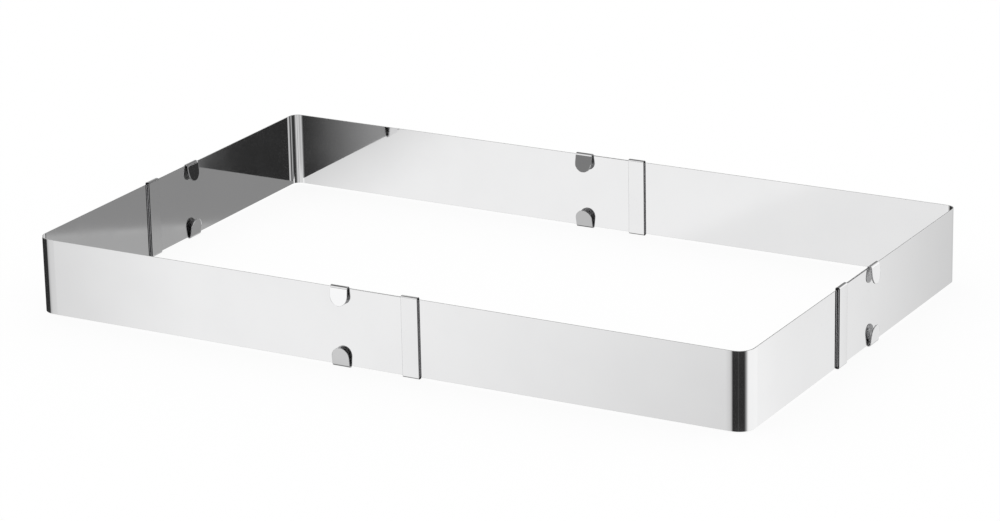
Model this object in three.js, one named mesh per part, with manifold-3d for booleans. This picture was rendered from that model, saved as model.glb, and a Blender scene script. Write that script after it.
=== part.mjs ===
// An adjustable baking frame: four L-bent strips of polished stainless sheet that slide past each other on every side.
// On each side one strip ends in a closed sleeve that the other strip runs through, and the other strip ends in a pair
// of half-round lugs that are folded over the first one's edges. Millimetres, +Z up, +X along the long side.
// The origin is the middle of the frame, on the surface that it stands on.

import * as THREE from "three";
import { mergeVertices } from "three/addons/utils/BufferGeometryUtils.js";
import Module from "manifold-3d";

// Sheet and strips
const SHEET = 0.6; // thickness of the strips
const STRIP_HEIGHT = 50;
const BEND_RADIUS = 10; // outside of each strip's corner bend
const LONG_ARM = 281.2; // outside of the corner to the end of the arm, front side
const REAR_TRIM = 5; // the two arms of the rear side are this much shorter
const SHORT_ARM = 184.4; // the same, left and right sides

// How far the frame is pushed together: what the two arms of a side share
const LONG_OVERLAP = 61.3; // front side
const SHORT_OVERLAP = 57.9; // left and right sides

// Clearances
const SLIDE_GAP = 0.3; // between faces that slide
const SEAT_GAP = 0.1; // between a sleeve and the strip that it is fixed to
const EDGE_GAP = 0.6; // above and below the strips' edges, inside sleeves and lugs

// Sleeves
const SLEEVE_SHEET = 0.6;
const SLEEVE_WIDTH = 11.5; // along the side
const SLEEVE_BEND = 0.45; // inside radius of its four bends
const SEAM_GAP = 0.4; // butt seam, on the leaf that is not fixed

// Folded lugs
const LUG_WIDTH = 12.2; // its tip is a half circle of this width
const LUG_REACH = 11.4; // from the strip's edge to the tip
const LUG_STAND_OFF = 1.1; // from the neighbour's face to the lug, just past the fold
const LUG_FLARE = THREE.MathUtils.degToRad(7); // the lug leans away from the neighbour
const LUG_ROOT_BEND = 0.6; // inside radius of the fold at the strip's own edge
const LUG_TOP_BEND = 1.2; // inside radius of the fold beyond the neighbour
const LUG_ROOT = 2; // how far the lug's blank runs into the strip
const LUG_SET_BACK = 0.4; // the end of the strip runs this far past its lugs

// Facets of the bends
const CORNER_STEPS = 14;
const FOLD_STEPS = 6;
const TIP_STEPS = 24;

// Derived sizes
const LAYER = SHEET + SLIDE_GAP; // from an outer strip's face to the inner strip's face
const FRAME_LENGTH = 2 * LONG_ARM + LAYER - LONG_OVERLAP;
const FRAME_WIDTH = 2 * SHORT_ARM + LAYER - SHORT_OVERLAP;
const REAR_ARM = LONG_ARM - REAR_TRIM;
const STRIP_BASE = EDGE_GAP + Math.max(SLEEVE_SHEET, SHEET); // the strips stand on sleeves and lugs
const STRIP_MIDDLE = STRIP_BASE + STRIP_HEIGHT / 2;
const QUARTER = Math.PI / 2;

const polishedSteel = new THREE.MeshStandardMaterial({ color: 0xdcdcde, roughness: 0.08, metalness: 1 });
const polishedSleeve = new THREE.MeshStandardMaterial({ color: 0xd6d6d9, roughness: 0.12, metalness: 1 });

const wasm = await Module();
wasm.setup();

// Joining and cutting

function toSolid(geometry) {
  const bare = geometry.clone();
  bare.deleteAttribute("normal");
  bare.deleteAttribute("uv");
  const merged = mergeVertices(bare);
  const mesh = new wasm.Mesh({
    numProp: 3,
    vertProperties: new Float32Array(merged.attributes.position.array),
    triVerts: new Uint32Array(merged.index.array),
  });
  return new wasm.Manifold(mesh);
}

function toGeometry(solid) {
  const mesh = solid.getMesh();
  const geometry = new THREE.BufferGeometry();
  geometry.setAttribute("position", new THREE.BufferAttribute(mesh.vertProperties, mesh.numProp));
  geometry.setIndex(new THREE.BufferAttribute(mesh.triVerts, 1));
  geometry.computeVertexNormals();
  return geometry;
}

// Bent sheet

// The outline of a sheet seen on its edge. The middle of the sheet starts at a point with a heading in radians and
// makes moves: { run } goes straight, { turn, radius, steps } bends to the left by turn (to the right if negative).
function bentSheet(start, heading, moves, sheet) {
  const left = [];
  const right = [];
  const at = start.clone();
  const mark = () => {
    const side = new THREE.Vector2(-Math.sin(heading), Math.cos(heading)).multiplyScalar(sheet / 2);
    left.push(at.clone().add(side));
    right.push(at.clone().sub(side));
  };
  mark();
  for (const { run, turn, radius, steps } of moves) {
    if (run !== undefined) {
      at.add(new THREE.Vector2(Math.cos(heading), Math.sin(heading)).multiplyScalar(run));
      mark();
      continue;
    }
    const bend = Math.sign(turn) * radius;
    const centre = new THREE.Vector2(at.x - bend * Math.sin(heading), at.y + bend * Math.cos(heading));
    const first = heading;
    for (let step = 1; step <= steps; step++) {
      heading = first + (turn * step) / steps;
      at.set(centre.x + bend * Math.sin(heading), centre.y - bend * Math.cos(heading));
      mark();
    }
  }
  return new THREE.Shape([...right, ...left.reverse()]);
}

function extrudeCentred(shape, depth) {
  const geometry = new THREE.ExtrudeGeometry(shape, { depth, bevelEnabled: false });
  return geometry.translate(0, 0, -depth / 2);
}

// Lugs

// A lug's section, in a plane across its strip: x runs from the middle of the strip's sheet towards the neighbour, and
// y is the height above the strip's edge.
function lugSection() {
  const middle = SHEET / 2;
  const rootRadius = LUG_ROOT_BEND + middle;
  const topRadius = LUG_TOP_BEND + middle;
  const rise = EDGE_GAP - LUG_ROOT_BEND;
  const topTurn = QUARTER - LUG_FLARE;
  const across = LAYER + SHEET + LUG_STAND_OFF; // to the middle of the leg, where its fold ends
  const topRun = across - rootRadius - topRadius * Math.sin(topTurn);
  const foldEnd = EDGE_GAP + middle - topRadius * (1 - Math.cos(topTurn));
  const leg = (foldEnd + LUG_REACH + SHEET) / Math.cos(LUG_FLARE);
  return bentSheet(
    new THREE.Vector2(0, -LUG_ROOT),
    QUARTER,
    [
      { run: LUG_ROOT + rise },
      { turn: -QUARTER, radius: rootRadius, steps: FOLD_STEPS },
      { run: topRun },
      { turn: -topTurn, radius: topRadius, steps: FOLD_STEPS },
      { run: leg },
    ],
    SHEET,
  );
}

// The lug's outline seen square to its strip: straight sides and a half-round tip.
function lugOutline() {
  const radius = LUG_WIDTH / 2;
  const shoulder = radius - LUG_REACH;
  const top = EDGE_GAP + 2 * SHEET;
  const tip = new THREE.EllipseCurve(0, shoulder, radius, radius, -Math.PI, 0);
  return new THREE.Shape([...tip.getPoints(TIP_STEPS), new THREE.Vector2(radius, top), new THREE.Vector2(-radius, top)]);
}

// One lug on the upper edge, with x towards the neighbour, y up from the edge and z along the strip: a wide folded
// band, trimmed to the lug's outline.
function foldedLug() {
  const depth = 4 * (LAYER + SHEET + LUG_STAND_OFF + LUG_REACH);
  const outline = extrudeCentred(lugOutline(), depth).rotateY(QUARTER);
  const band = extrudeCentred(lugSection(), 2 * LUG_WIDTH);
  return toSolid(band).intersect(toSolid(outline));
}

// Places geometry whose x faces along the given direction and whose y is up.
function facing(direction, position) {
  const up = new THREE.Vector3(0, 0, 1);
  const along = new THREE.Vector3().crossVectors(direction, up);
  return new THREE.Matrix4().makeBasis(direction, up, along).setPosition(position);
}

// Strips

// An L-bent strip with its arms along +X and +Y, its bottom edge at z = 0, and the middle of its sheet on both axes.
// Each arm is { length, lugs }, where length is from the outside of the corner, and lugs is "in" or "out" for the side
// that its lugs are folded to, or is left out.
function cornerStrip(armX, armY) {
  const plan = bentSheet(
    new THREE.Vector2(0, armY.length - SHEET / 2),
    -QUARTER,
    [
      { run: armY.length - BEND_RADIUS },
      { turn: QUARTER, radius: BEND_RADIUS - SHEET / 2, steps: CORNER_STEPS },
      { run: armX.length - BEND_RADIUS },
    ],
    SHEET,
  );
  const geometry = new THREE.ExtrudeGeometry(plan, { depth: STRIP_HEIGHT, bevelEnabled: false });
  let solid = toSolid(geometry);
  const ends = [
    { arm: armX, along: new THREE.Vector3(1, 0, 0), inwards: new THREE.Vector3(0, 1, 0) },
    { arm: armY, along: new THREE.Vector3(0, 1, 0), inwards: new THREE.Vector3(1, 0, 0) },
  ];
  for (const { arm, along, inwards } of ends) {
    if (!arm.lugs) continue;
    const towards = inwards.clone().multiplyScalar(arm.lugs === "in" ? 1 : -1);
    const place = along.clone().multiplyScalar(arm.length - SHEET / 2 - LUG_SET_BACK - LUG_WIDTH / 2);
    place.z = STRIP_HEIGHT;
    const upper = toGeometry(foldedLug()).applyMatrix4(facing(towards, place));
    const halfTurn = new THREE.Matrix4().makeRotationAxis(towards, Math.PI);
    const middle = place.clone().setZ(STRIP_HEIGHT / 2);
    const lower = upper.clone().translate(-middle.x, -middle.y, -middle.z).applyMatrix4(halfTurn);
    lower.translate(middle.x, middle.y, middle.z);
    solid = solid.add(toSolid(upper)).add(toSolid(lower));
  }
  return toGeometry(solid);
}

// Sleeves

// A sleeve round two strips, with x towards the strip that it is fixed to, y up from the strips' middle and z along
// the side. x = 0 is the face of its own strip that the sleeve is fixed to.
function sleeveGeometry() {
  const middle = SLEEVE_SHEET / 2;
  const fixedLeaf = SEAT_GAP + middle;
  const looseLeaf = SHEET + LAYER + SLIDE_GAP + middle;
  const radius = SLEEVE_BEND + middle;
  const half = STRIP_HEIGHT / 2 + EDGE_GAP + middle;
  const bend = { turn: -QUARTER, radius, steps: FOLD_STEPS };
  const cap = { run: fixedLeaf + looseLeaf - 2 * radius };
  const halfLeaf = { run: half - radius - SEAM_GAP / 2 };
  const wholeLeaf = { run: 2 * (half - radius) };
  const section = bentSheet(
    new THREE.Vector2(-looseLeaf, SEAM_GAP / 2),
    QUARTER,
    [halfLeaf, bend, cap, bend, wholeLeaf, bend, cap, bend, halfLeaf],
    SLEEVE_SHEET,
  );
  return extrudeCentred(section, SLEEVE_WIDTH);
}

// Assembly

const frame = new THREE.Group();
const halfLength = FRAME_LENGTH / 2;
const halfWidth = FRAME_WIDTH / 2;
const outerLength = halfLength - SHEET / 2; // to the middle of an outer strip's sheet
const outerWidth = halfWidth - SHEET / 2;
const innerLength = outerLength - LAYER; // to the middle of an inner strip's sheet
const innerWidth = outerWidth - LAYER;

// The strips, counter-clockwise seen from above. Each one's first arm runs on round the frame, and its second runs back.
const strips = [
  {
    name: "front_left_strip",
    arms: [{ length: LONG_ARM }, { length: SHORT_ARM, lugs: "in" }],
    corner: [-outerLength, -outerWidth],
  },
  {
    name: "front_right_strip",
    arms: [
      { length: SHORT_ARM, lugs: "out" },
      { length: LONG_ARM, lugs: "out" },
    ],
    corner: [innerLength, -innerWidth],
  },
  {
    name: "rear_right_strip",
    arms: [{ length: REAR_ARM, lugs: "in" }, { length: SHORT_ARM }],
    corner: [outerLength, outerWidth],
  },
  {
    name: "rear_left_strip",
    arms: [{ length: SHORT_ARM }, { length: REAR_ARM }],
    corner: [-innerLength, innerWidth],
  },
];
strips.forEach(({ name, arms, corner }, turns) => {
  const strip = new THREE.Mesh(cornerStrip(...arms), polishedSteel);
  strip.name = name;
  strip.position.set(...corner, STRIP_BASE);
  strip.rotation.z = turns * QUARTER;
  frame.add(strip);
});

// The sleeves. Each sits at the end of its strip, and turn is the way its fixed leaf faces, as quarter turns from +X.
const fromEnd = SLEEVE_WIDTH / 2;
const innerFaceX = -innerLength + SHEET / 2; // inside face of the inner strip, left side
const innerFaceY = innerWidth - SHEET / 2; // the same, rear side
const sleeves = [
  { name: "front_sleeve", at: [-halfLength + LONG_ARM - fromEnd, -halfWidth], turn: -1 },
  { name: "right_sleeve", at: [halfLength, halfWidth - SHORT_ARM + fromEnd], turn: 0 },
  { name: "rear_sleeve", at: [-halfLength + LAYER + REAR_ARM - fromEnd, innerFaceY], turn: -1 },
  { name: "left_sleeve", at: [innerFaceX, halfWidth - LAYER - SHORT_ARM + fromEnd], turn: 0 },
];
for (const { name, at, turn } of sleeves) {
  const place = new THREE.Group();
  place.position.set(...at, STRIP_MIDDLE);
  place.rotation.z = turn * QUARTER;
  const sleeve = new THREE.Mesh(sleeveGeometry(), polishedSleeve);
  sleeve.name = name;
  sleeve.rotation.x = QUARTER;
  place.add(sleeve);
  frame.add(place);
}

export default frame;
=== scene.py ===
"""An adjustable baking frame: strips and sleeves folded from sheet, their polish, and a studio round them."""

import math
from typing import NamedTuple

import bmesh
import bpy
from mathutils import Matrix, Vector


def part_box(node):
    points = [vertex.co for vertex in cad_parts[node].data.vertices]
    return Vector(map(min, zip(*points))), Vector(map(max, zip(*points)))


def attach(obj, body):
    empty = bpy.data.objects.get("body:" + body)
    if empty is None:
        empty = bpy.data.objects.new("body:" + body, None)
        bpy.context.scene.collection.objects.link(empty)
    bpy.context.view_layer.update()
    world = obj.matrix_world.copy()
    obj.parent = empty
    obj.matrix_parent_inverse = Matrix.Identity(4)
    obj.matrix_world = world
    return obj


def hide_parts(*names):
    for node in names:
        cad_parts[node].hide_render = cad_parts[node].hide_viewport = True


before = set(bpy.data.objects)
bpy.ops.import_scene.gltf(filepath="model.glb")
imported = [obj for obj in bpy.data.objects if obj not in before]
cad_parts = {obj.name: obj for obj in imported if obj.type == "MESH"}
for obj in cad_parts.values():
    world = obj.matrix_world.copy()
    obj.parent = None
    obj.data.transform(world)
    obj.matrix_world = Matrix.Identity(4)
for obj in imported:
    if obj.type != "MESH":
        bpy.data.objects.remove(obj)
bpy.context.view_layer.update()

MM = 0.001
QUARTER = math.pi / 2

# Sheet and strips
SHEET = 0.6 * MM
EDGE_ROUND = 0.12 * MM  # the sheet's dressed edges
EDGE_SEGMENTS = 3
EDGE_ANGLE = math.radians(40)  # folds that turn more than this at one line are dressed
FLAT_WEIGHT = 100  # how much the large faces decide the shading
EASE_RADIUS = 100 * MM  # of the slow turn ahead of each bend
CORNER_STEPS = 28
EASE_STEPS = 6

# Folded lugs
LUG_WIDTH = 12.2 * MM
LUG_REACH = 11.4 * MM  # from the strip's edge to the tip
LUG_RISE = 0.9 * MM  # from the strip's edge to the middle of the sheet over the neighbour
LUG_ACROSS = 2.6 * MM  # from the strip to the leg, where the leg's fold ends
LUG_ROOT_BEND = 0.9 * MM  # middle of the sheet, at the strip's own edge
LUG_TOP_BEND = 1.5 * MM  # middle of the sheet, beyond the neighbour
LUG_SET_BACK = 0.4 * MM  # the end of the strip runs this far past its lugs
LUG_COLUMNS = 16
FOLD_STEPS = 10
TIP_STEPS = 14
TIP_POINT = EDGE_ROUND / 10  # a row of the blank that is narrower than this is one point

# Sleeves
SLEEVE_BEND = 0.75 * MM  # middle of the sheet
SLEEVE_SEAM = 0.4 * MM


# Node trees


class Wire:
    """A socket of a node tree. Arithmetic on it adds Math nodes."""

    def __init__(self, tree, socket):
        self.tree = tree
        self.socket = socket

    def __add__(self, other):
        return self.tree.math("ADD", self, other)

    def __sub__(self, other):
        return self.tree.math("SUBTRACT", self, other)

    def __mul__(self, other):
        return self.tree.math("MULTIPLY", self, other)

    def __rsub__(self, other):
        return self.tree.math("SUBTRACT", other, self)

    __radd__ = __add__
    __rmul__ = __mul__

    def at_least(self, other):
        return self.tree.math("MAXIMUM", self, other)

    def at_most(self, other):
        return self.tree.math("MINIMUM", self, other)

    def step(self, low, high):
        """0 below low, 1 above high, and smooth between them."""
        inputs = {"Value": self, "From Min": low, "From Max": high}
        return self.tree.node("ShaderNodeMapRange", {"interpolation_type": "SMOOTHSTEP"}, inputs)["Result"]

    def between(self, rise, risen, fall, fallen):
        """1 from risen to fall, 0 below rise and above fallen, and smooth on either side."""
        return self.step(rise, risen) - self.step(fall, fallen)

    def parts(self):
        node = self.tree.node("ShaderNodeSeparateXYZ", {}, {"Vector": self})
        return node["X"], node["Y"], node["Z"]


class Node:
    """A node whose outputs come back as wires, by name, number or identifier."""

    def __init__(self, tree, node):
        self.tree = tree
        self.node = node

    def __getitem__(self, key):
        return Wire(self.tree, find_socket(self.node.outputs, key))


def find_socket(sockets, key):
    """By number or name, or by identifier where several sockets share a name."""
    for socket in sockets:
        if socket.identifier == key:
            return socket
    return sockets[key]


class Tree:
    """Adds nodes to a node tree."""

    def __init__(self, node_tree):
        self.nodes = node_tree.nodes
        self.links = node_tree.links

    def node(self, kind, settings=None, inputs=None):
        """Adds a node of a type, with its settings, set first, and the values or links of its sockets."""
        node = self.nodes.new(kind)
        for name, value in (settings or {}).items():
            if name == "items":  # of an Index Switch
                while len(node.index_switch_items) < value:
                    node.index_switch_items.new()
            else:
                setattr(node, name, value)
        for key, value in (inputs or {}).items():
            socket = find_socket(node.inputs, key)
            if isinstance(value, Wire):
                self.links.new(value.socket, socket)
            else:
                socket.default_value = value
        return Node(self, node)

    def math(self, operation, *values):
        return self.node("ShaderNodeMath", {"operation": operation}, dict(enumerate(values)))[0]

    def vector(self, x, y, z):
        return self.node("ShaderNodeCombineXYZ", {}, {"X": x, "Y": y, "Z": z})["Vector"]

    def mix(self, factor, a, b, label=""):
        inputs = {"Factor_Float": factor, "A_Float": a, "B_Float": b}
        return self.node("ShaderNodeMix", {"data_type": "FLOAT", "label": label}, inputs)["Result_Float"]

    def mix_colour(self, factor, a, b):
        inputs = {"Factor_Float": factor, "A_Color": a, "B_Color": b}
        return self.node("ShaderNodeMix", {"data_type": "RGBA"}, inputs)["Result_Color"]


# Folding


class FoldingTree(Tree):
    """A Geometry Nodes tree with named inputs that folds a flat blank."""

    def __init__(self, name, sizes):
        self.group = bpy.data.node_groups.new(name, "GeometryNodeTree")
        super().__init__(self.group)
        face = self.group.interface
        face.new_socket("Blank", in_out="INPUT", socket_type="NodeSocketGeometry")
        self.identifiers = {}
        for size in sizes:
            socket = face.new_socket(size, in_out="INPUT", socket_type="NodeSocketFloat")
            self.identifiers[size] = socket.identifier
        socket = face.new_socket("Finish", in_out="INPUT", socket_type="NodeSocketMaterial")
        self.identifiers["Finish"] = socket.identifier
        face.new_socket("Folded", in_out="OUTPUT", socket_type="NodeSocketGeometry")
        self.given = self.node("NodeGroupInput")

    def choose(self, data_type, values):
        """One of the values, by the point's number."""
        choice = {str(number): value for number, value in enumerate(values)}
        choice["Index"] = self.node("GeometryNodeInputIndex")["Index"]
        settings = {"data_type": data_type, "items": len(values)}
        return self.node("GeometryNodeIndexSwitch", settings, choice)["Output"]

    def bent_line(self, points, radii, steps):
        """A curve through the points, with each corner rounded to its radius."""
        line = self.node("GeometryNodeMeshLine", {}, {"Count": len(points)})["Mesh"]
        inputs = {"Geometry": line, "Position": self.choose("VECTOR", points)}
        line = self.node("GeometryNodeSetPosition", {}, inputs)["Geometry"]
        curve = self.node("GeometryNodeMeshToCurve", {}, {"Mesh": line})["Curve"]
        inputs = {"Curve": curve, "Count": steps, "Radius": self.choose("FLOAT", radii)}
        return self.node("GeometryNodeFilletCurve", {"mode": "POLY"}, inputs)["Curve"]

    def along(self, curve, length):
        """Where a curve is, and its heading, at a length from its start."""
        settings = {"mode": "LENGTH", "use_all_curves": True}
        node = self.node("GeometryNodeSampleCurve", settings, {"Curves": curve, "Length": length})
        return node["Position"].parts(), node["Tangent"].parts()

    def finish(self, position):
        inputs = {"Geometry": self.given["Blank"], "Position": position}
        folded = self.node("GeometryNodeSetPosition", {}, inputs)["Geometry"]
        folded = self.node("GeometryNodeSetShadeSmooth", {}, {"Geometry": folded})["Geometry"]
        folded = self.node("GeometryNodeRealizeInstances", {}, {"Geometry": folded})["Geometry"]
        inputs = {"Geometry": folded, "Material": self.given["Finish"]}
        folded = self.node("GeometryNodeSetMaterial", {}, inputs)["Geometry"]
        self.node("NodeGroupOutput", {}, {"Folded": folded})
        return self


def strip_tree():
    """Folds a strip's blank: its corner, and the lugs that run past its edges. In the blank, x runs along the
    strip, y up it and z through the sheet. The strip comes out with its arms along +Y and +X, the middle of
    its sheet on both axes, and the blank's upper face inside the corner."""
    sizes = ["Back Arm", "Ahead Arm", "Bend Radius", "Ease Radius", "Ease Start", "Corner Inset", "Height"]
    sizes += ["Lug Rise", "Lug Fold", "Lug Tip", "Lug Reach", "Lug Root Radius", "Lug Top Radius"]
    tree = FoldingTree("fold_strip", sizes)
    given = tree.given
    run, up, depth = tree.node("GeometryNodeInputPosition")["Position"].parts()

    path_points = [
        tree.vector(0, given["Back Arm"], 0),
        tree.vector(0, given["Ease Start"], 0),
        tree.vector(given["Corner Inset"], given["Corner Inset"], 0),
        tree.vector(given["Ease Start"], 0, 0),
        tree.vector(given["Ahead Arm"], 0, 0),
    ]
    path_radii = [0.0, given["Ease Radius"], given["Bend Radius"], given["Ease Radius"], 0.0]
    path = tree.bent_line(path_points, path_radii, 2 * CORNER_STEPS)
    (x, y, _), (heading_x, heading_y, _) = tree.along(path, run)

    section_points = [
        tree.vector(0, 0, 0),
        tree.vector(0, given["Lug Rise"], 0),
        tree.vector(given["Lug Fold"], given["Lug Rise"], 0),
        tree.vector(given["Lug Tip"], 0 - given["Lug Reach"], 0),
    ]
    section_radii = [0.0, given["Lug Root Radius"], given["Lug Top Radius"], 0.0]
    section = tree.bent_line(section_points, section_radii, 2 * FOLD_STEPS)
    over = (up - given["Height"]).at_least(0)
    under = (0 - up).at_least(0)
    (out, rise, _), (outward, upward, _) = tree.along(section, over + under)

    named = tree.node("GeometryNodeInputNamedAttribute", {"data_type": "FLOAT"}, {"Name": "fold_side"})
    side = named["Attribute"]
    edge = tree.math("SIGN", over - under)  # 1 past the upper edge, -1 past the lower one
    offset = out * side + depth * upward
    lift = up.at_least(0).at_most(given["Height"]) + edge * (rise - depth * outward * side)
    return tree.finish(tree.vector(x - heading_y * offset, y + heading_x * offset, lift))


def sleeve_tree():
    """Folds a sleeve's blank into a flat band. In the blank, x runs round the band, y across it and z through
    the sheet. The band comes out with x towards the strip that it is fixed to, y across it and z up, centred,
    with its seam on the far leaf and the blank's upper face inside."""
    tree = FoldingTree("fold_sleeve", ["Half Depth", "Half Height", "Bend Radius", "Seam"])
    given = tree.given
    run, across, depth = tree.node("GeometryNodeInputPosition")["Position"].parts()
    deep = given["Half Depth"]
    high = given["Half Height"]
    seam = given["Seam"] * 0.5
    points = [
        tree.vector(0 - deep, 0, seam),
        tree.vector(0 - deep, 0, high),
        tree.vector(deep, 0, high),
        tree.vector(deep, 0, 0 - high),
        tree.vector(0 - deep, 0, 0 - high),
        tree.vector(0 - deep, 0, 0 - seam),
    ]
    radii = [0.0] + [given["Bend Radius"]] * 4 + [0.0]
    band = tree.bent_line(points, radii, 2 * FOLD_STEPS)
    (x, _, z), (heading_x, _, heading_z) = tree.along(band, run)
    return tree.finish(tree.vector(x + depth * heading_z, across, z - depth * heading_x))


# Blanks


class Blank:
    """A flat sheet before it is folded. Its points are in the middle of the sheet until it is thickened. Each
    has its distance from the nearest sheared edge, the side that its lug folds to, and how dull the face is
    that the folding hides and how dark the painted shade of the fold is on it: above 0 for the upper face of
    the sheet, below 0 for the lower one."""

    def __init__(self):
        self.mesh = bmesh.new()
        self.from_edge = self.mesh.verts.layers.float.new("from_edge")
        self.fold_side = self.mesh.verts.layers.float.new("fold_side")
        self.dull = self.mesh.verts.layers.float.new("dull")

    def point(self, x, y, from_edge, side=0.0, dull=0.0):
        vertex = self.mesh.verts.new((x, y, 0))
        vertex[self.from_edge] = from_edge
        vertex[self.fold_side] = side
        vertex[self.dull] = dull
        return vertex

    def skin(self, row, next_row):
        """Faces between two rows of points, which may share points."""
        for a, b, c, d in zip(row, row[1:], next_row[1:], next_row):
            corners = list(dict.fromkeys((a, b, c, d)))
            if len(corners) > 2:
                self.mesh.faces.new(corners)

    def thicken(self):
        """A copy of the sheet goes up half its thickness, and the sheet goes down as far. Only the points of
        the hidden face stay dull and keep their painted shade."""
        raised = bmesh.ops.extrude_face_region(self.mesh, geom=self.mesh.faces[:])["geom"]
        for vertex in self.mesh.verts:
            vertex.co.z = SHEET / 2 if vertex in raised else -SHEET / 2
            vertex[self.dull] = abs(vertex[self.dull]) if vertex[self.dull] * vertex.co.z > 0 else 0.0
        bmesh.ops.recalc_face_normals(self.mesh, faces=self.mesh.faces)

    def finish(self, name):
        self.thicken()
        flat = self.mesh.loops.layers.uv.new("flat")
        for face in self.mesh.faces:
            for loop in face.loops:
                loop[flat].uv = loop.vert.co.xy
        mesh = bpy.data.meshes.new(name)
        self.mesh.to_mesh(mesh)
        self.mesh.free()
        return mesh


def spread(start, end, steps):
    return [start + (end - start) * step / steps for step in range(steps + 1)]


class Lug:
    """A lug's section and blank. Its leg leans away from the neighbouring strip by the flare."""

    def __init__(self, flare):
        turn = QUARTER - flare
        fold_drop = LUG_TOP_BEND * (1 - math.cos(turn))
        leg_drop = LUG_REACH + LUG_RISE - fold_drop
        self.fold = LUG_ACROSS - math.tan(flare) * fold_drop
        self.tip = LUG_ACROSS + math.tan(flare) * leg_drop
        root_end = LUG_ROOT_BEND * QUARTER
        fold_start = root_end + self.fold - LUG_ROOT_BEND - LUG_TOP_BEND * math.tan(turn / 2)
        fold_end = fold_start + LUG_TOP_BEND * turn
        radius = LUG_WIDTH / 2
        shoulder = fold_end + leg_drop / math.cos(flare) - radius
        straight = spread(0, root_end, FOLD_STEPS)[1:] + spread(fold_start, fold_end, FOLD_STEPS)
        # Each row's distance from the strip's edge, and half its width
        self.rows = [(at, radius) for at in straight]
        for angle in spread(0, QUARTER, TIP_STEPS):
            self.rows.append((shoulder + radius * math.sin(angle), radius * math.cos(angle)))


class Corner:
    """A strip's corner on the middle of the sheet: a bend, and the slow turn, ease, before and after it."""

    def __init__(self, radius, ease):
        self.radius = radius
        main_turn = QUARTER - 2 * ease
        self.ease_tangent = EASE_RADIUS * math.tan(ease / 2)
        legs = self.ease_tangent + radius * math.tan(main_turn / 2)
        self.inset = legs * math.sin(ease)
        self.start = legs * math.cos(ease) + self.inset
        self.ease_length = EASE_RADIUS * ease
        self.bend_length = radius * main_turn

    def columns(self, at):
        """Places along the blank from the start of the corner, at the given place, to its end."""
        bend = at + self.ease_length
        ease_out = bend + self.bend_length
        places = spread(at, bend, EASE_STEPS) + spread(bend, ease_out, CORNER_STEPS)[1:]
        return places + spread(ease_out, ease_out + self.ease_length, EASE_STEPS)[1:]


def strip_blank(name, corner, lug, back, ahead, height, dull):
    """The flat strip. Each arm is (length, side of its lugs): 1 folds them inwards, -1 outwards, 0 has none.
    The lugs' hidden faces are as dull, and carry as dark a painted shade, as given."""
    straight = corner.start + corner.ease_tangent
    bend = corner.columns(back[0] - straight)
    total = bend[-1] + ahead[0] - straight
    near = spread(LUG_SET_BACK, LUG_SET_BACK + LUG_WIDTH, LUG_COLUMNS)
    lug_columns = [(near, back[1]), ([total - at for at in reversed(near)], ahead[1])]
    places = {0, total, *bend}
    for columns, side in lug_columns:
        if side:
            places.update(columns)
    places = sorted(places)

    blank = Blank()
    bottom = [blank.point(x, 0, min(x, total - x)) for x in places]
    top = [blank.point(x, height, min(x, total - x)) for x in places]
    blank.skin(bottom, top)
    for columns, side in lug_columns:
        if not side:
            continue
        middle = (columns[0] + columns[-1]) / 2
        shares = [(x - middle) / (LUG_WIDTH / 2) for x in columns]
        first = places.index(columns[0])
        for edge, direction, roots in ((0, -1, bottom), (height, 1, top)):
            row = roots[first : first + LUG_COLUMNS + 1]
            for vertex in row:
                vertex[blank.fold_side] = side
            for distance, half_width in lug.rows:
                y = edge + direction * distance
                if half_width < TIP_POINT:
                    # the hidden face of the lug gets the painted shade of the fold
                    next_row = [blank.point(middle, y, 0, side, side * dull)] * len(row)
                else:
                    next_row = []
                    for share in shares:
                        x = middle + share * half_width
                        next_row.append(blank.point(x, y, (1 - abs(share)) * half_width, side, side * dull))
                blank.skin(row, next_row)
                row = next_row
    return blank.finish(name)


def sleeve_blank(name, half_depth, half_height, width):
    """The flat band, from one side of the seam round to the other."""
    half_leaf = half_height - SLEEVE_BEND - SLEEVE_SEAM / 2
    bend = SLEEVE_BEND * QUARTER
    cap = 2 * (half_depth - SLEEVE_BEND)
    leaf = 2 * (half_height - SLEEVE_BEND)
    places = [0]
    for run in (half_leaf, cap, leaf, cap):
        places += spread(places[-1] + run, places[-1] + run + bend, FOLD_STEPS)
    places.append(places[-1] + half_leaf)
    blank = Blank()
    rows = []
    for y, from_edge in ((-width / 2, 0), (0, width / 2), (width / 2, 0)):
        # the inside of the band is dull and darkened with painted shade
        rows.append([blank.point(x, y, from_edge, dull=1.0) for x in places])
    for row, next_row in zip(rows, rows[1:]):
        blank.skin(row, next_row)
    return blank.finish(name)


def fold(name, blank, tree, sizes, placing):
    """The folded piece, with dressed edges, at its place."""
    flat = bpy.data.objects.new(name + "_blank", blank)
    bpy.context.scene.collection.objects.link(flat)
    folding = flat.modifiers.new("fold", "NODES")
    folding.node_group = tree.group
    for size, value in sizes.items():
        folding[tree.identifiers[size]] = value
    edges = flat.modifiers.new("edges", "BEVEL")
    edges.width = EDGE_ROUND
    edges.segments = EDGE_SEGMENTS
    edges.limit_method = "ANGLE"
    edges.angle_limit = EDGE_ANGLE
    edges.use_clamp_overlap = False
    normals = flat.modifiers.new("normals", "WEIGHTED_NORMAL")
    normals.weight = FLAT_WEIGHT
    graph = bpy.context.evaluated_depsgraph_get()
    folded = flat.evaluated_get(graph)
    mesh = bpy.data.meshes.new_from_object(folded, preserve_all_data_layers=True, depsgraph=graph)
    mesh.name = name
    mesh.transform(placing)
    bpy.data.objects.remove(flat)
    piece = bpy.data.objects.new(name, mesh)
    bpy.context.scene.collection.objects.link(piece)
    return piece


# Finishes

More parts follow.
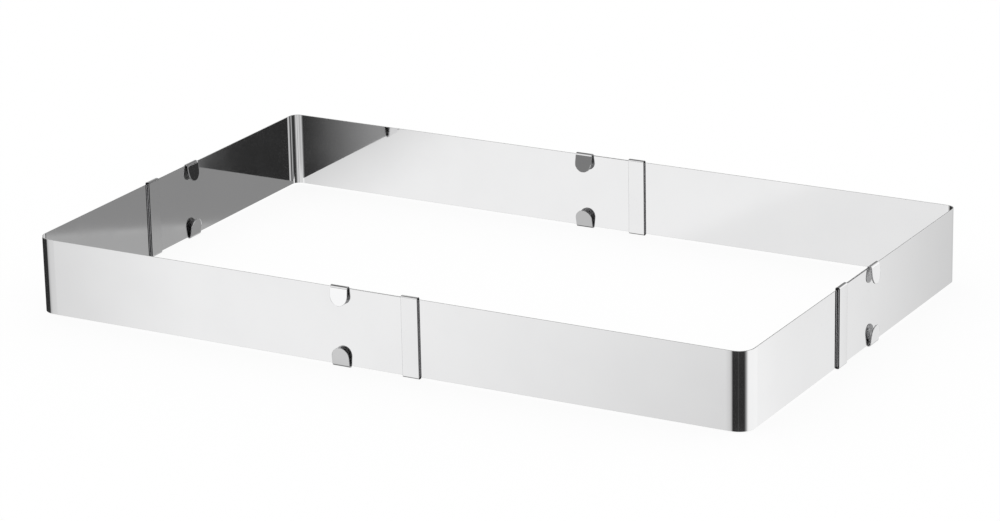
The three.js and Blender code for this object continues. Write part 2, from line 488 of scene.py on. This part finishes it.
SHEARED_FADE = (0.9 * EDGE_ROUND, 1.2 * EDGE_ROUND)  # from the edge, where the sheared look ends, and on the sleeves their painted gap shade
EDGE_BLUE = 1.02
CLEAR_BLUE = 1.004
LINES_ALONG = 14  # polishing lines in a metre, along the strip and across it
LINES_ACROSS = 3200
LINE_ROUGHNESS = 0.02
LINE_HEIGHT = 0.00002 * MM
HAZES = 26  # hazy patches in a metre
HAZE_TONE = 0.985  # of the clear sheet's tone
HAZE_TONE_FADE = (0.35, 0.7)  # values of the noise at which the haze sets in
HAZE_BLUE = 1.005
HAZE_ROUGHNESS = 0.015
HAZE_ROUGHNESS_FADE = (0.4, 0.75)
WAVES = 7  # waves of the rolled sheet in a metre
WAVE_HEIGHT = 0.04 * MM
PAINTED_SHADE_TONE = 0.12  # painted shade, where the folding hides the sheet
PAINTED_SHADE_BLUE = 1.017
DULL_ROUGHNESS = 0.3
DULL_METAL = 0.45


def steel_grey(tone, blue):
    """A grey whose blue is so many times as strong."""
    return (tone, tone, tone * blue, 1)


class Finish(Tree):
    """A material with a Principled shader."""

    def __init__(self, name):
        self.material = bpy.data.materials.new(name)
        self.material.use_nodes = True
        super().__init__(self.material.node_tree)
        self.nodes.clear()

    def shade(self, **sockets):
        inputs = {name.replace("_", " "): value for name, value in sockets.items()}
        shader = self.node("ShaderNodeBsdfPrincipled", {}, inputs)
        self.node("ShaderNodeOutputMaterial", {}, {"Surface": shader["BSDF"]})
        return self.material

    def noise(self, vector, scale, detail, roughness=0.5):
        inputs = {"Vector": vector, "Scale": scale, "Detail": detail, "Roughness": roughness}
        return self.node("ShaderNodeTexNoise", {}, inputs)["Fac"]


def polished_steel(name, tone, polish, edge_tone, edge_roughness):
    """Stainless sheet, polished almost to a mirror along its length, and dull where sheared. The faces that
    the folding hides are dull and darkened with painted shade, and a dark edge tone can paint the shade of a
    gap onto the sheared edges.
    """
    finish = Finish(name)
    flat = finish.node("ShaderNodeUVMap", {"uv_map": "flat"})["UV"]
    x, y, _ = flat.parts()
    from_edge = finish.node("ShaderNodeAttribute", {"attribute_name": "from_edge"})["Fac"]
    sheared = 1 - from_edge.step(*SHEARED_FADE)
    # how dull the hidden faces are and how dark their painted shade is
    dull = finish.node("ShaderNodeAttribute", {"attribute_name": "dull"})["Fac"]

    drawn_out = finish.vector(x * LINES_ALONG, y * LINES_ACROSS, 0)
    lines = finish.noise(drawn_out, scale=1, detail=3, roughness=0.6)
    haze = finish.noise(flat, scale=HAZES, detail=3)
    wave = finish.noise(flat, scale=WAVES, detail=1)
    clear = steel_grey(tone, CLEAR_BLUE)
    hazy = steel_grey(tone * HAZE_TONE, HAZE_BLUE)
    colour = finish.mix_colour(haze.step(*HAZE_TONE_FADE), clear, hazy)
    # painted shade: the faces that the folding hides are darkened
    colour = finish.mix_colour(dull, colour, steel_grey(PAINTED_SHADE_TONE, PAINTED_SHADE_BLUE))
    # sheared edges: a duller tone on the strips, and on the sleeves a near black one that is painted shade of
    # the gap under each leaf's end
    colour = finish.mix_colour(sheared, colour, steel_grey(edge_tone, EDGE_BLUE))
    roughness = polish + (lines - 0.5) * LINE_ROUGHNESS + haze.step(*HAZE_ROUGHNESS_FADE) * HAZE_ROUGHNESS
    roughness = finish.mix(dull, roughness, DULL_ROUGHNESS)
    roughness = finish.mix(sheared, roughness, edge_roughness)
    metal = finish.mix(dull * (1 - sheared), 1.0, DULL_METAL)
    height = wave * WAVE_HEIGHT + lines * LINE_HEIGHT
    bump = finish.node("ShaderNodeBump", {}, {"Height": height, "Strength": 1.0, "Distance": 1.0})["Normal"]
    return finish.shade(Base_Color=colour, Metallic=metal, Roughness=roughness, Normal=bump)


strip_steel = polished_steel("strip_steel", tone=0.86, polish=0.03, edge_tone=0.6, edge_roughness=0.45)
# the sleeves' sheared edges are near black: a sheared edge with painted shade of the gap beneath it
sleeve_steel = polished_steel("sleeve_steel", tone=0.85, polish=0.04, edge_tone=0.08, edge_roughness=0.5)

# Pieces

boxes = {node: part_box(node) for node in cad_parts}
plain_low, plain_high = boxes["rear_left_strip"]  # the strip without lugs
strip_base = plain_low.z
strip_height = plain_high.z - plain_low.z

left_low, left_high = boxes["front_left_strip"]
right_low, right_high = boxes["rear_right_strip"]
outward_low, outward_high = boxes["front_right_strip"]


class Strip(NamedTuple):
    """A strip, and how it lies in the frame."""

    node: str
    body: str
    corner: tuple  # the outside of its corner, in x and y
    ends: tuple  # of its arms, in x and y
    turns: int  # quarter turns from the tree's own position
    back_lugs: int  # side of the lugs on the arm behind the corner: 1 inwards, -1 outwards, 0 none
    ahead_lugs: int  # and on the arm ahead of it
    flare: float  # of the lugs, in degrees
    radius: float  # of the bend, in the middle of the sheet, in millimetres
    ease: float  # the slow turn ahead of the bend, in degrees
    dull: float  # how dull the hidden faces of its lugs are and how dark their painted shade is, from 0, polished and unshaded, to 1


class Sleeve(NamedTuple):
    """A sleeve, and how it lies in the frame."""

    node: str
    body: str
    turns: int  # quarter turns from +X to the way that its fixed leaf faces


# The last number of each strip sets how dull its lugs' hidden faces are and how dark the painted shade on
# them is.
STRIPS = [
    Strip(
        "front_left_strip", "front_left", (left_low.x, left_low.y), (left_high.x, left_high.y),
        turns=0, back_lugs=1, ahead_lugs=0, flare=8, radius=9.7, ease=2.5, dull=1,
    ),
    Strip(
        "front_right_strip", "front_right", (-plain_low.x, -plain_high.y), (outward_low.x, outward_high.y),
        turns=1, back_lugs=-1, ahead_lugs=-1, flare=6, radius=9.7, ease=2.5, dull=0.4,
    ),
    Strip(
        "rear_right_strip", "rear_right", (right_high.x, right_high.y), (right_low.x, right_low.y),
        turns=2, back_lugs=0, ahead_lugs=1, flare=12, radius=6, ease=0.8, dull=0.6,
    ),
    Strip(
        "rear_left_strip", "rear_left", (plain_low.x, plain_high.y), (plain_high.x, plain_low.y),
        turns=3, back_lugs=0, ahead_lugs=0, flare=8, radius=6, ease=0.8, dull=0,
    ),
]
SLEEVES = [
    Sleeve("front_sleeve", "front_left", turns=-1),
    Sleeve("right_sleeve", "rear_right", turns=0),
    Sleeve("rear_sleeve", "rear_left", turns=-1),
    Sleeve("left_sleeve", "rear_left", turns=0),
]


def make_strips():
    tree = strip_tree()
    for strip in STRIPS:
        spans = [abs(end - place) - SHEET / 2 for end, place in zip(strip.ends, strip.corner)]
        ahead, back = spans if strip.turns % 2 == 0 else reversed(spans)
        lug = Lug(math.radians(strip.flare))
        bend = Corner(strip.radius * MM, math.radians(strip.ease))
        turn = Matrix.Rotation(strip.turns * QUARTER, 4, "Z")
        inset = turn.to_3x3() @ Vector((SHEET / 2, SHEET / 2, 0))
        placing = Matrix.Translation(Vector((*strip.corner, strip_base)) + inset) @ turn
        sizes = {
            "Back Arm": back,
            "Ahead Arm": ahead,
            "Bend Radius": bend.radius,
            "Ease Radius": EASE_RADIUS,
            "Ease Start": bend.start,
            "Corner Inset": bend.inset,
            "Height": strip_height,
            "Lug Rise": LUG_RISE,
            "Lug Fold": lug.fold,
            "Lug Tip": lug.tip,
            "Lug Reach": LUG_REACH,
            "Lug Root Radius": LUG_ROOT_BEND,
            "Lug Top Radius": LUG_TOP_BEND,
            "Finish": strip_steel,
        }
        arms = (back, strip.back_lugs), (ahead, strip.ahead_lugs)
        blank = strip_blank(strip.node, bend, lug, *arms, strip_height, strip.dull)
        piece = fold(strip.node + "_sheet", blank, tree, sizes, placing)
        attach(piece, strip.body)
        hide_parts(strip.node)


def make_sleeves():
    tree = sleeve_tree()
    for sleeve in SLEEVES:
        low, high = boxes[sleeve.node]
        across_x = sleeve.turns % 2 == 0
        size = high - low
        half_depth = ((size.x if across_x else size.y) - SHEET) / 2
        half_height = (size.z - SHEET) / 2
        width = size.y if across_x else size.x
        placing = Matrix.Translation((low + high) / 2) @ Matrix.Rotation(sleeve.turns * QUARTER, 4, "Z")
        sizes = {
            "Half Depth": half_depth,
            "Half Height": half_height,
            "Bend Radius": SLEEVE_BEND,
            "Seam": SLEEVE_SEAM,
            "Finish": sleeve_steel,
        }
        blank = sleeve_blank(sleeve.node, half_depth, half_height, width)
        piece = fold(sleeve.node + "_band", blank, tree, sizes, placing)
        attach(piece, sleeve.body)
        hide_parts(sleeve.node)


make_strips()
make_sleeves()


# Studio

FLOOR_SIZE = 40  # metres
SHADOW_SHARE = 0.1  # how much of the object's shadow shows on the floor
TENT = 1.12  # the white tent round the object

# Headings run from +Y towards +X and heights from the horizon, in degrees. A card fades in between the first
# two numbers and out between the last two.
LEAST_HEADING = -90
MOST_HEADING = 270
EVERY_WAY = (-92, -91, 271, 272)
FROM_FRONT = (-40, -30, -17.8, -17.7)  # heights that the front wall mirrors
FROM_REAR = (-17.8, -17.7, -14, -10)  # heights that the rear wall mirrors
FROM_LEFT = (26.5, 28.5, 56, 66)  # headings that the left wall mirrors
FROM_RIGHT = (-40, -30, -14, -10)  # heights that the right wall mirrors
FROM_NEAR_CORNER = (-21.8, -21.1, -19.75, -19.1)  # heights that the front right corner mirrors
FROM_SIDE_CORNERS = (-19.6, -18.95, -17.55, -17)  # heights that the front left and rear right corners mirror
FROM_FAR_CORNER = (-18.3, -17.7, -15.7, -15)  # heights that the rear left corner mirrors


class Card(NamedTuple):
    """A darker or lighter part of the tent, which only the steel mirrors."""

    name: str
    tone: float
    headings: tuple
    heights: tuple
    lean: float = 0  # of its sides: degrees of heading for each degree of height


# Later cards cover earlier ones.
CARDS = [
    Card("tent below the horizon", 0.985, EVERY_WAY, (-92, -91, -15, -6)),
    Card("front light, left end", 0.74, (213.8, 217.4, 271, 272), FROM_FRONT),
    Card("front light, left end, lower", 0.66, (212.25, 215.25, 271, 272), FROM_REAR, lean=1.5),
    Card("beyond the front light", 0.56, (217.5, 228, 271, 272), FROM_FRONT),
    Card("front light, right end", 0.66, (96, 97, 198.3, 211.9), (-40, -30, -18.9, -18.8), lean=0.8),
    Card("front light, right part", 0.91, (96, 97, 206.9, 207.7), (-18.9, -18.8, -14, -10), lean=2.5),
    Card("right light, left part", 0.92, (-92, -91, 24.6, 25.4), FROM_RIGHT),
    Card("right light, left end", 0.66, (-92, -91, 21.6, 24.4), FROM_RIGHT),
    Card("right light", 1.03, (25, 26.5, 80, 97), (-26, -23, -19.4, -18.6)),
    Card("right wall", 0.275, FROM_LEFT, (-17.85, -17.75, -12, -8)),
    Card("foot of the right wall", 0.415, FROM_LEFT, (-19.2, -18.5, -17.85, -17.75)),
    Card("edge of the right wall", 0.05, (26, 27, 31, 32.4), (-18.1, -18, -17, -16)),
    Card("table", 0.56, EVERY_WAY, (-92, -91, -34, -23)),
    Card("table at the right light", 0.86, (12, 16, 21.5, 24), (-30, -28, -22.5, -21.5)),
    Card("table at the right wall", 0.32, (24, 27, 56, 66), (-42, -38, -24.5, -22.5)),
    Card("under the object", 0.1, EVERY_WAY, (-92, -91, -62, -42)),
    Card("straight below", 0.45, EVERY_WAY, (-92, -91, -78, -70)),
    Card("ceiling", 0.14, EVERY_WAY, (16, 26, 91, 92)),
    Card("top of the tent", 0.75, EVERY_WAY, (58, 72, 91, 92)),
    Card("ceiling at the front light", 0.9, (203, 206, 246, 256), (8, 9.5, 50, 60)),
    Card("above the front light", 0.22, (198, 202, 216, 222), (-1, 0, 8, 9.5)),
    Card("left of the rear", 0.42, (-60, -50, -32.2, -31), (6, 12, 30, 40)),
    Card("rear", 0.25, (-31.5, -30, -6, 2), (6, 12, 60, 70)),
    Card("light behind", 1.0, (-4, 4, 22, 28), (5, 10, 22, 36)),
    Card("right of the light behind", 0.2, (30.5, 32.5, 60, 70), (-3, 0, 30, 40)),
    Card("left wall", 0.03, (230, 241, 271, 272), FROM_SIDE_CORNERS),
    Card("left of the rear, low", 0.03, (-92, -91, -44, -38), FROM_SIDE_CORNERS),
    Card("camera side", 0.38, (86, 118, 194, 203), (-60, -50, 14, 20)),
    Card("table at the camera side", 0.85, (138, 150, 196, 203), (-40, -36, -22.8, -22)),
    Card("camera side, higher", 0.2, (86, 96, 150, 160), (-16, -15, -6.6, -5)),
    Card("camera", 0.04, (139, 142, 150, 156), (-16, -15, -6.6, -6)),
    Card("camera side from the near corner", 0.03, (99, 122, 198, 203), FROM_NEAR_CORNER),
    Card("slit at the camera", 0.07, (155.6, 157.6, 159.6, 161.6), FROM_NEAR_CORNER),
    Card("left of the camera", 0.04, (76, 84, 140, 150), FROM_FAR_CORNER),
    Card("light round the camera", 0.74, (104, 138, 150, 200), FROM_FAR_CORNER),
    Card("camera from the far corner", 0.03, (145, 146.4, 149.2, 150.6), FROM_FAR_CORNER),
    Card("glow at the camera", 0.38, (147.8, 149.2, 149.6, 150.6), FROM_FAR_CORNER),
    Card("table right of the camera", 0.8, (150, 156, 195, 200), (-18.3, -17.9, -17.1, -16.95)),
]
LEAN_FROM = -18.5  # height at which leaning sides are at their own heading
LEAN_REACH = 2.5  # they lean for this far above and below it


def make_world():
    world = bpy.data.worlds.new("studio")
    bpy.context.scene.world = world
    world.use_nodes = True
    tree = Tree(world.node_tree)
    tree.nodes.clear()
    x, y, z = tree.node("ShaderNodeTexCoord")["Generated"].parts()
    degree = 180 / math.pi
    heading = tree.math("ARCTAN2", x, y) * degree
    heading = tree.math("WRAP", heading, MOST_HEADING, LEAST_HEADING)
    height = tree.math("ARCSINE", z) * degree
    above = (height - LEAN_FROM).at_least(-LEAN_REACH).at_most(LEAN_REACH)
    tone = TENT
    for card in CARDS:
        leaning = heading + above * card.lean if card.lean else heading
        mask = leaning.between(*card.headings) * height.between(*card.heights)
        tone = tree.mix(mask, tone, card.tone, card.name)
    mirrored = tree.node("ShaderNodeLightPath")["Is Glossy Ray"]
    strength = tree.mix(mirrored, 1.0, tone)
    background = tree.node("ShaderNodeBackground", {}, {"Color": (1, 1, 1, 1), "Strength": strength})
    tree.node("ShaderNodeOutputWorld", {}, {"Surface": background["Background"]})


def make_floor():
    bpy.ops.mesh.primitive_plane_add(size=FLOOR_SIZE)
    floor = bpy.context.object
    floor.name = "floor"
    finish = Finish("floor_white")
    glow = finish.node("ShaderNodeEmission", {}, {"Color": (1, 1, 1, 1), "Strength": 1.0})["Emission"]
    matt = finish.node("ShaderNodeBsdfDiffuse", {}, {"Color": (1, 1, 1, 1)})["BSDF"]
    shader = finish.node("ShaderNodeMixShader", {}, {"Fac": SHADOW_SHARE, 1: glow, 2: matt})["Shader"]
    finish.node("ShaderNodeOutputMaterial", {}, {"Surface": shader})
    floor.data.materials.append(finish.material)
    floor.visible_glossy = False


# Camera, at the photograph's viewing angle

IMAGE_WIDTH = 1000
SENSOR_WIDTH = 36  # millimetres
FOCAL_PIXELS = 3903.7
VIEW_AZIMUTH = math.radians(29.278)
VIEW_ELEVATION = math.radians(18.431)
VIEW_ROLL = math.radians(-1.168)
VIEW_DISTANCE = 2509.6 * MM
VIEW_TARGET = Vector((0.32, 0.36, 25)) * MM


def make_camera():
    data = bpy.data.cameras.new("camera")
    data.sensor_width = SENSOR_WIDTH
    data.lens = FOCAL_PIXELS / IMAGE_WIDTH * SENSOR_WIDTH
    camera = bpy.data.objects.new("camera", data)
    bpy.context.scene.collection.objects.link(camera)
    flat = math.cos(VIEW_ELEVATION)
    back = Vector((math.sin(VIEW_AZIMUTH) * flat, -math.cos(VIEW_AZIMUTH) * flat, math.sin(VIEW_ELEVATION)))
    right = Vector((math.cos(VIEW_AZIMUTH), math.sin(VIEW_AZIMUTH), 0))
    up = back.cross(right)
    axes = Matrix((right, up, back)).transposed() @ Matrix.Rotation(VIEW_ROLL, 3, "Z")
    camera.matrix_world = Matrix.Translation(VIEW_TARGET + back * VIEW_DISTANCE) @ axes.to_4x4()
    bpy.context.scene.camera = camera


make_world()
make_floor()
make_camera()
bpy.context.scene.view_settings.view_transform = "Standard"
